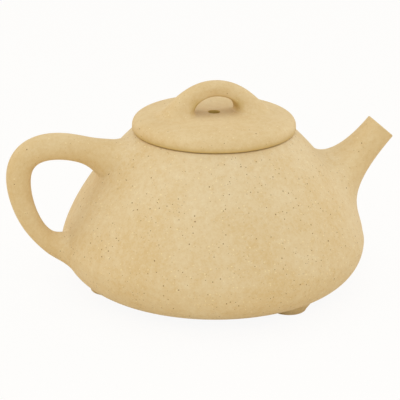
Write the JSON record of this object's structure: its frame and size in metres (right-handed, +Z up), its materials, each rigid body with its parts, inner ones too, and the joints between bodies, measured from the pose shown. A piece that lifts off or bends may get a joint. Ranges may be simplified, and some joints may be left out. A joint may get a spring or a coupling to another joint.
{
  "type": "teapot",
  "caption": "Low round unglazed clay teapot on small feet, with a short strainer spout, a looped handle and a flat lift-off lid with a bridge knob.",
  "frame": {"origin": "on the surface that the feet stand on, below the middle of the length from handle to spout", "axes": "+Z up, +X from the handle to the spout; the pot's own axis is vertical, at x 3.9 mm, y 0"},
  "size_m": [0.1494, 0.1152, 0.0796],
  "materials": {
    "body_clay": "unglazed sandy clay, matt, with fine brown specks",
    "limb_clay": "unglazed clay smoothed by hand, matt"
  },
  "bodies": {
    "pot": {"body_wall": "body_clay", "base_disc": "body_clay", "shoulder_disc": "body_clay", "mouth_ring": "body_clay", "spout": "limb_clay", "strainer": "limb_clay", "handle": "limb_clay", "foot_far_side": "body_clay", "foot_below_handle": "body_clay", "foot_near_side": "body_clay"},
    "lid_flange": {"lid_flange": "limb_clay"},
    "lid_top": {"lid_plate": "limb_clay", "knob": "limb_clay"}
  },
  "joints": [
    {"name": "lid_lift", "type": "slide", "parent": "pot", "child": "lid_flange", "axis": [0, 0, 1], "range_m": [0, 0.06]},
    {"name": "lid_turn", "type": "hinge", "parent": "lid_flange", "child": "lid_top", "pos_m": [0.0039, 0, 0.0611], "axis": [0, 0, 1], "continuous": true}
  ]
}
